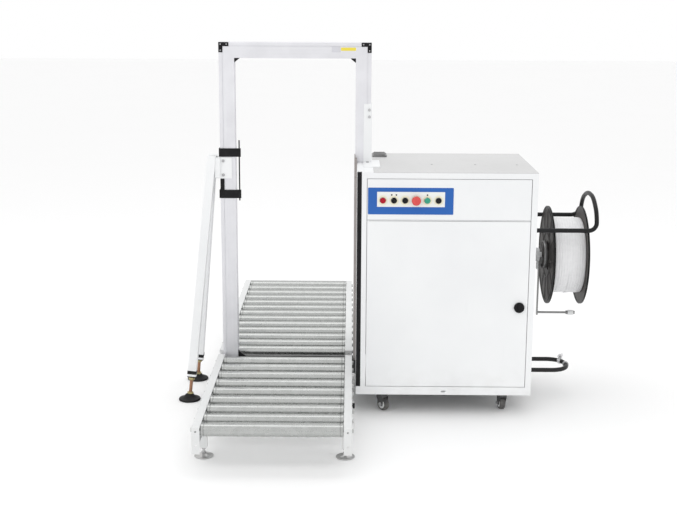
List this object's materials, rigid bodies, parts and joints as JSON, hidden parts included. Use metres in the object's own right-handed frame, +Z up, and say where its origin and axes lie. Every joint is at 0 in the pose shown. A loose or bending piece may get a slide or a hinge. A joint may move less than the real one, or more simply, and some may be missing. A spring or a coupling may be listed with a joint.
{
  "type": "strapping machine",
  "caption": "Side-seal strapping machine: cabinet on casters, aluminium arch over two low roller tables, outrigger brace and strap reel.",
  "frame": {"origin": "on the floor, under the middle of the whole machine's box", "axes": "+Z up, +Y the way packages travel through the arch, +X towards the strap reel; the operator stands at -Y"},
  "size_m": [1.914, 2.498, 1.63],
  "materials": {
    "white_paint": "fine powder coat",
    "cover_paint": "fine powder coat",
    "head_plate": "brushed",
    "arch_aluminium": "satin anodised",
    "black_plastic": "fine grain",
    "table_paint": "powder coat",
    "foot_steel": "zinc plated, rubber under the brace",
    "caster_steel": "black",
    "black_metal": "satin black",
    "machined_steel": "machined",
    "grey_paint": "powder coat",
    "red_plastic": "gloss",
    "stop_red": "satin",
    "green_plastic": "gloss",
    "reel_black": "moulded",
    "strap_white": "wound polypropylene strap",
    "zinc": "zinc plated",
    "white_plastic": "moulded",
    "wheel_rubber": "matt",
    "overlay_blue": "printed film",
    "legend_white": "printed film",
    "label_yellow": "printed film",
    "label_grey": "printed film"
  },
  "bodies": {
    "machine": {"cabinet_frame": "white_paint", "cabinet_shell": "white_paint", "top_cover": "cover_paint", "control_fascia": "white_paint", "head_plate": "head_plate", "arch_left_post": "arch_aluminium", "arch_right_post": "arch_aluminium", "arch_top_beam": "arch_aluminium", "arch_bottom_beam": "arch_aluminium", "arch_brackets": "black_plastic", "mast_bracket": "white_paint", "arch_brace": "white_paint", "front_table_frame": "table_paint", "rear_table_frame": "table_paint", "levelling_feet": "foot_steel", "rear_caster_forks": "caster_steel", "reel_spindle": "black_metal", "guard_tubes": "black_metal", "sealing_head": "machined_steel", "electrical_box": "grey_paint"},
    "door": {"front_door": "white_paint"},
    "door_lock": {"door_lock": "black_plastic"},
    "reset_button": {"reset_button": "red_plastic"},
    "mode_selector": {"mode_selector": "black_plastic"},
    "reverse_button": {"reverse_button": "black_plastic"},
    "emergency_stop": {"emergency_stop": "stop_red"},
    "start_button": {"start_button": "green_plastic"},
    "feed_button": {"feed_button": "black_plastic"},
    "reel": {"reel_flanges": "reel_black", "strap_coil": "strap_white"},
    "brake_lever": {"brake_lever": "zinc"},
    "guide_roller": {"guide_roller": "white_plastic"},
    "front_left_caster": {"front_left_caster_fork": "caster_steel"},
    "front_right_caster": {"front_right_caster_fork": "caster_steel"},
    "front_left_wheel": {"front_left_wheel": "wheel_rubber"},
    "front_right_wheel": {"front_right_wheel": "wheel_rubber"},
    "rear_left_wheel": {"rear_left_wheel": "wheel_rubber"},
    "rear_right_wheel": {"rear_right_wheel": "wheel_rubber"},
    "front_roller_1": {"front_roller_1": "zinc"},
    "front_roller_2": {"front_roller_2": "zinc"},
    "front_roller_3": {"front_roller_3": "zinc"},
    "front_roller_4": {"front_roller_4": "zinc"},
    "front_roller_5": {"front_roller_5": "zinc"},
    "front_roller_6": {"front_roller_6": "zinc"},
    "front_roller_7": {"front_roller_7": "zinc"},
    "front_roller_8": {"front_roller_8": "zinc"},
    "front_roller_9": {"front_roller_9": "zinc"},
    "rear_roller_1": {"rear_roller_1": "zinc"},
    "rear_roller_2": {"rear_roller_2": "zinc"},
    "rear_roller_3": {"rear_roller_3": "zinc"},
    "rear_roller_4": {"rear_roller_4": "zinc"},
    "rear_roller_5": {"rear_roller_5": "zinc"},
    "rear_roller_6": {"rear_roller_6": "zinc"},
    "rear_roller_7": {"rear_roller_7": "zinc"},
    "rear_roller_8": {"rear_roller_8": "zinc"},
    "rear_roller_9": {"rear_roller_9": "zinc"},
    "rear_roller_10": {"rear_roller_10": "zinc"},
    "rear_roller_11": {"rear_roller_11": "zinc"},
    "rear_roller_12": {"rear_roller_12": "zinc"},
    "rear_roller_13": {"rear_roller_13": "zinc"}
  },
  "joints": [
    {"name": "door_hinge", "type": "hinge", "parent": "machine", "child": "door", "pos_m": [-0.091, -0.555, 0.5], "axis": [0, 0, -1], "range_deg": [0, 90]},
    {"name": "lock_turn", "type": "hinge", "parent": "door", "child": "door_lock", "pos_m": [0.576, -0.559, 0.498], "axis": [0, 1, 0], "range_deg": [0, 90]},
    {"name": "reset_push", "type": "slide", "parent": "machine", "child": "reset_button", "axis": [0, 1, 0], "range_m": [0, 0.004], "stiffness_N_per_m": 300},
    {"name": "mode_turn", "type": "hinge", "parent": "machine", "child": "mode_selector", "pos_m": [0.02, -0.559, 0.972], "axis": [0, 1, 0], "range_deg": [0, 90]},
    {"name": "reverse_push", "type": "slide", "parent": "machine", "child": "reverse_button", "axis": [0, 1, 0], "range_m": [0, 0.004], "stiffness_N_per_m": 300},
    {"name": "stop_push", "type": "slide", "parent": "machine", "child": "emergency_stop", "axis": [0, 1, 0], "range_m": [0, 0.005]},
    {"name": "start_push", "type": "slide", "parent": "machine", "child": "start_button", "axis": [0, 1, 0], "range_m": [0, 0.004], "stiffness_N_per_m": 300},
    {"name": "feed_push", "type": "slide", "parent": "machine", "child": "feed_button", "axis": [0, 1, 0], "range_m": [0, 0.004], "stiffness_N_per_m": 300},
    {"name": "reel_spin", "type": "hinge", "parent": "machine", "child": "reel", "pos_m": [0.759, -0.129, 0.645], "axis": [1, 0, 0], "continuous": true},
    {"name": "brake_lever_swing", "type": "hinge", "parent": "machine", "child": "brake_lever", "pos_m": [0.721, -0.129, 0.59], "axis": [1, 0, 0], "range_deg": [0, 35]},
    {"name": "guide_roller_spin", "type": "hinge", "parent": "brake_lever", "child": "guide_roller", "pos_m": [0.883, -0.129, 0.364], "axis": [1, 0, 0], "continuous": true},
    {"name": "front_left_swivel", "type": "hinge", "parent": "machine", "child": "front_left_caster", "pos_m": [-0.024, -0.487, 0.093], "axis": [0, 0, 1], "continuous": true},
    {"name": "front_left_wheel_roll", "type": "hinge", "parent": "front_left_caster", "child": "front_left_wheel", "pos_m": [-0.01372, -0.49926, 0.03], "axis": [-0.766, -0.6428, 0], "continuous": true},
    {"name": "front_right_swivel", "type": "hinge", "parent": "machine", "child": "front_right_caster", "pos_m": [0.526, -0.487, 0.093], "axis": [0, 0, 1], "continuous": true},
    {"name": "front_right_wheel_roll", "type": "hinge", "parent": "front_right_caster", "child": "front_right_wheel", "pos_m": [0.52322, -0.47124, 0.03], "axis": [0.9848, 0.1736, 0], "continuous": true},
    {"name": "rear_left_wheel_roll", "type": "hinge", "parent": "machine", "child": "rear_left_wheel", "pos_m": [-0.024, 0.035, 0.03], "axis": [1, 0, 0], "continuous": true},
    {"name": "rear_right_wheel_roll", "type": "hinge", "parent": "machine", "child": "rear_right_wheel", "pos_m": [0.526, 0.035, 0.03], "axis": [1, 0, 0], "continuous": true},
    {"name": "front_roller_1_spin", "type": "hinge", "parent": "machine", "child": "front_roller_1", "pos_m": [-0.47, -0.315, 0.163], "axis": [1, 0, 0], "continuous": true},
    {"name": "front_roller_2_spin", "type": "hinge", "parent": "machine", "child": "front_roller_2", "pos_m": [-0.47, -0.427, 0.163], "axis": [1, 0, 0], "continuous": true},
    {"name": "front_roller_3_spin", "type": "hinge", "parent": "machine", "child": "front_roller_3", "pos_m": [-0.47, -0.539, 0.163], "axis": [1, 0, 0], "continuous": true},
    {"name": "front_roller_4_spin", "type": "hinge", "parent": "machine", "child": "front_roller_4", "pos_m": [-0.47, -0.651, 0.163], "axis": [1, 0, 0], "continuous": true},
    {"name": "front_roller_5_spin", "type": "hinge", "parent": "machine", "child": "front_roller_5", "pos_m": [-0.47, -0.763, 0.163], "axis": [1, 0, 0], "continuous": true},
    {"name": "front_roller_6_spin", "type": "hinge", "parent": "machine", "child": "front_roller_6", "pos_m": [-0.47, -0.875, 0.163], "axis": [1, 0, 0], "continuous": true},
    {"name": "front_roller_7_spin", "type": "hinge", "parent": "machine", "child": "front_roller_7", "pos_m": [-0.47, -0.987, 0.163], "axis": [1, 0, 0], "continuous": true},
    {"name": "front_roller_8_spin", "type": "hinge", "parent": "machine", "child": "front_roller_8", "pos_m": [-0.47, -1.099, 0.163], "axis": [1, 0, 0], "continuous": true},
    {"name": "front_roller_9_spin", "type": "hinge", "parent": "machine", "child": "front_roller_9", "pos_m": [-0.47, -1.211, 0.163], "axis": [1, 0, 0], "continuous": true},
    {"name": "rear_roller_1_spin", "type": "hinge", "parent": "machine", "child": "rear_roller_1", "pos_m": [-0.47, -0.133, 0.163], "axis": [1, 0, 0], "continuous": true},
    {"name": "rear_roller_2_spin", "type": "hinge", "parent": "machine", "child": "rear_roller_2", "pos_m": [-0.47, -0.021, 0.163], "axis": [1, 0, 0], "continuous": true},
    {"name": "rear_roller_3_spin", "type": "hinge", "parent": "machine", "child": "rear_roller_3", "pos_m": [-0.47, 0.091, 0.163], "axis": [1, 0, 0], "continuous": true},
    {"name": "rear_roller_4_spin", "type": "hinge", "parent": "machine", "child": "rear_roller_4", "pos_m": [-0.47, 0.203, 0.163], "axis": [1, 0, 0], "continuous": true},
    {"name": "rear_roller_5_spin", "type": "hinge", "parent": "machine", "child": "rear_roller_5", "pos_m": [-0.47, 0.315, 0.163], "axis": [1, 0, 0], "continuous": true},
    {"name": "rear_roller_6_spin", "type": "hinge", "parent": "machine", "child": "rear_roller_6", "pos_m": [-0.47, 0.427, 0.163], "axis": [1, 0, 0], "continuous": true},
    {"name": "rear_roller_7_spin", "type": "hinge", "parent": "machine", "child": "rear_roller_7", "pos_m": [-0.47, 0.539, 0.163], "axis": [1, 0, 0], "continuous": true},
    {"name": "rear_roller_8_spin", "type": "hinge", "parent": "machine", "child": "rear_roller_8", "pos_m": [-0.47, 0.651, 0.163], "axis": [1, 0, 0], "continuous": true},
    {"name": "rear_roller_9_spin", "type": "hinge", "parent": "machine", "child": "rear_roller_9", "pos_m": [-0.47, 0.763, 0.163], "axis": [1, 0, 0], "continuous": true},
    {"name": "rear_roller_10_spin", "type": "hinge", "parent": "machine", "child": "rear_roller_10", "pos_m": [-0.47, 0.875, 0.163], "axis": [1, 0, 0], "continuous": true},
    {"name": "rear_roller_11_spin", "type": "hinge", "parent": "machine", "child": "rear_roller_11", "pos_m": [-0.47, 0.987, 0.163], "axis": [1, 0, 0], "continuous": true},
    {"name": "rear_roller_12_spin", "type": "hinge", "parent": "machine", "child": "rear_roller_12", "pos_m": [-0.47, 1.099, 0.163], "axis": [1, 0, 0], "continuous": true},
    {"name": "rear_roller_13_spin", "type": "hinge", "parent": "machine", "child": "rear_roller_13", "pos_m": [-0.47, 1.211, 0.163], "axis": [1, 0, 0], "continuous": true}
  ]
}
